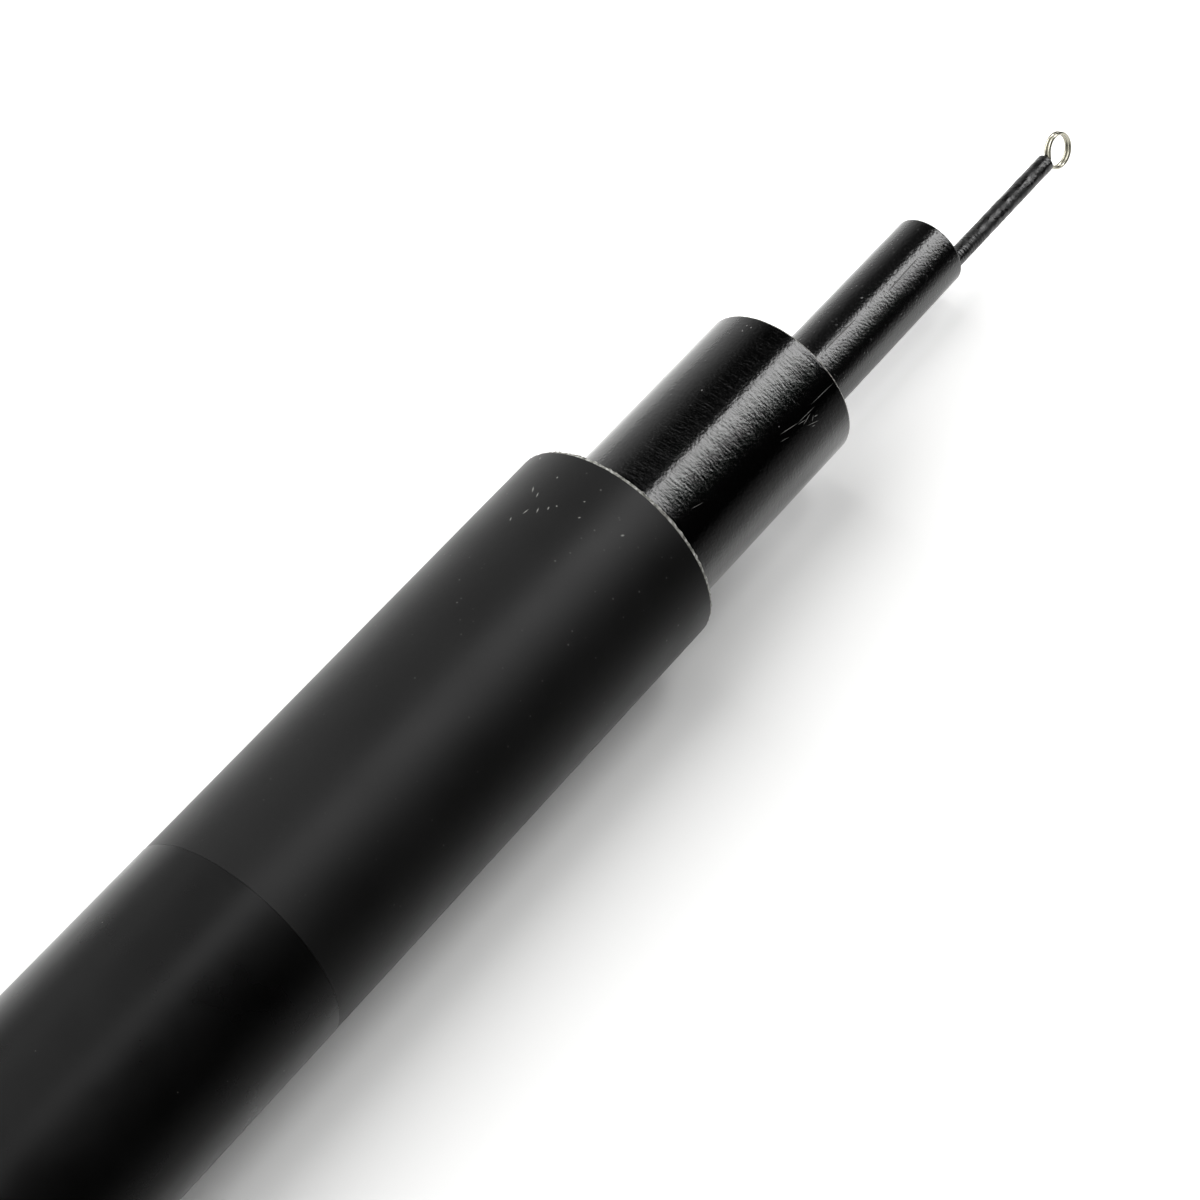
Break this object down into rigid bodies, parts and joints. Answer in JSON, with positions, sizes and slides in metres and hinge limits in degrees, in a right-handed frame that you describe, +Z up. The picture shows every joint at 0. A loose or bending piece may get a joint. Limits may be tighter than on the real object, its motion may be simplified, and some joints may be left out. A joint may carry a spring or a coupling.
{
  "type": "telescopic pole rod",
  "caption": "Telescopic pole rod closed for transport: nested tapered tubes that slide out of each other, a wire line eye in a shrink sleeve at the tip and a screw cap at the butt.",
  "frame": {"origin": "on the surface that the rod lies on, under the middle of its closed length", "axes": "+X along the rod from the butt to the tip, +Z up from the surface it lies on"},
  "size_m": [1.1032, 0.0296, 0.0295],
  "materials": {
    "matt_lacquer": "matte",
    "clear_film": "satin",
    "gloss_lacquer": "gloss",
    "bare_blank": "satin",
    "thread": "satin",
    "shrink_sleeve": "satin",
    "steel_wire": "polished",
    "moulded_nylon": "satin",
    "rubber": "matte",
    "foam": "matte"
  },
  "bodies": {
    "butt": {"butt_section": "matt_lacquer", "butt_film": "clear_film", "butt_bush": "moulded_nylon"},
    "washer": {"cap_washer": "rubber"},
    "cap": {"butt_cap": "moulded_nylon", "cap_pad": "rubber", "section_buffer": "foam"},
    "second": {"section_two": "gloss_lacquer"},
    "third": {"section_three": "gloss_lacquer"},
    "tip": {"tip_blank": "bare_blank", "tip_whipping": "thread", "tip_eye": "steel_wire", "tip_sleeve": "shrink_sleeve"}
  },
  "joints": [
    {"name": "section_two_slide", "type": "slide", "parent": "butt", "child": "second", "axis": [1, 0, 0], "range_m": [0, 0.9306]},
    {"name": "section_three_slide", "type": "slide", "parent": "second", "child": "third", "axis": [1, 0, 0], "range_m": [0, 0.9639]},
    {"name": "tip_slide", "type": "slide", "parent": "third", "child": "tip", "axis": [1, 0, 0], "range_m": [0, 1.0017]},
    {"name": "cap_travel", "type": "slide", "parent": "butt", "child": "washer", "axis": [-1, 0, 0.0023], "range_m": [0, 0.0091]},
    {"name": "cap_turn", "type": "hinge", "parent": "washer", "child": "cap", "pos_m": [-0.55101, 0, 0.01478], "axis": [-1, 0, 0.0023], "range_deg": [0, 2160]}
  ],
  "couplings": [
    {"joint": "cap_travel", "follows": "cap_turn", "m_per_rad": 0.00023873}
  ]
}
